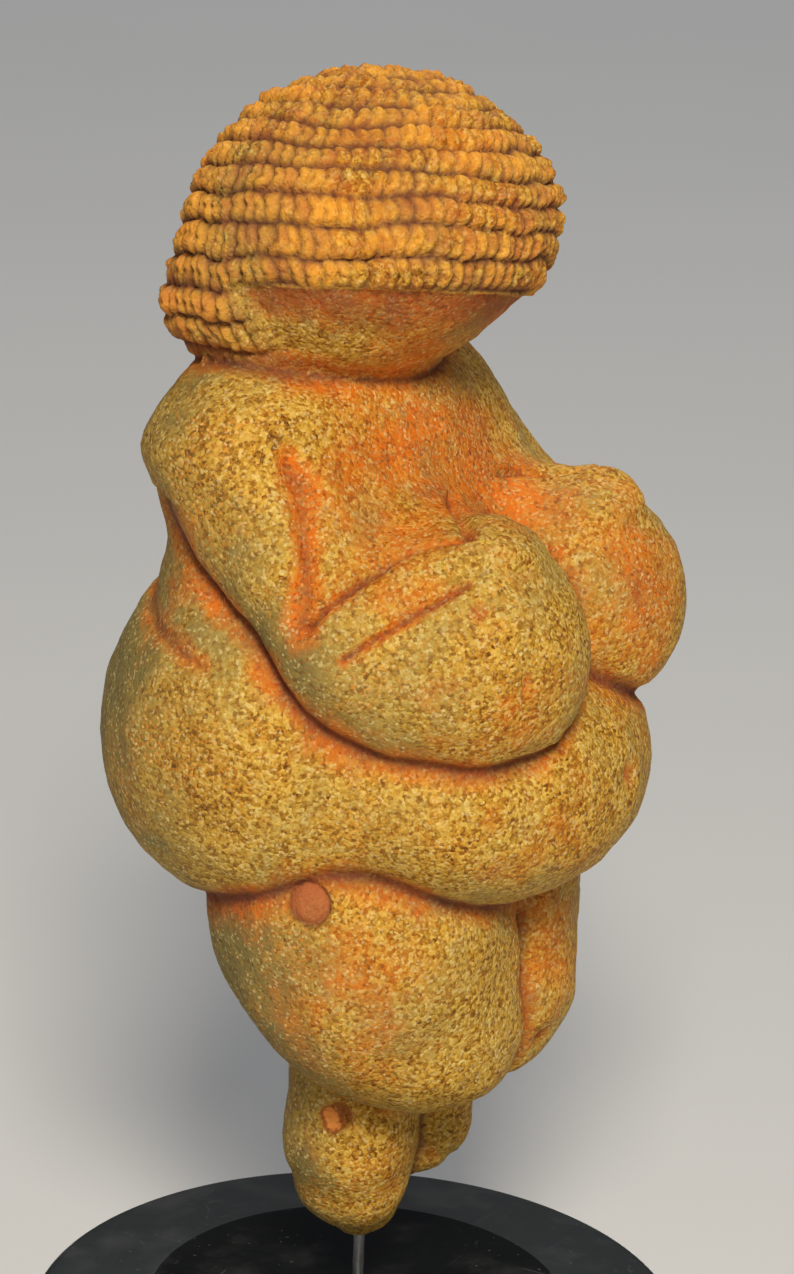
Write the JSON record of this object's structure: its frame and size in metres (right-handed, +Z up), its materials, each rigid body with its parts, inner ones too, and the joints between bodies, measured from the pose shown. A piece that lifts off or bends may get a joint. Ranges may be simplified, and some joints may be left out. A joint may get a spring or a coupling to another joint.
{
  "type": "venus figurine",
  "caption": "Carved stone female figurine with a rounded, knot-covered head, held upright by a thin steel pin in a round polished foot.",
  "frame": {"origin": "centre of the foot's flat underside, on the pin's axis", "axes": "+Z up along the pin, -Y the way the figure faces, +X towards the figure's left side"},
  "size_m": [0.0612, 0.0612, 0.1242],
  "materials": {
    "stone": "worn, finely speckled limestone with red ochre in the creases",
    "steel": "drawn bright wire",
    "foot_polish": "polished black with a satin outer band"
  },
  "bodies": {
    "root": {"figurine": "stone", "pin": "steel", "foot": "foot_polish"}
  },
  "joints": []
}
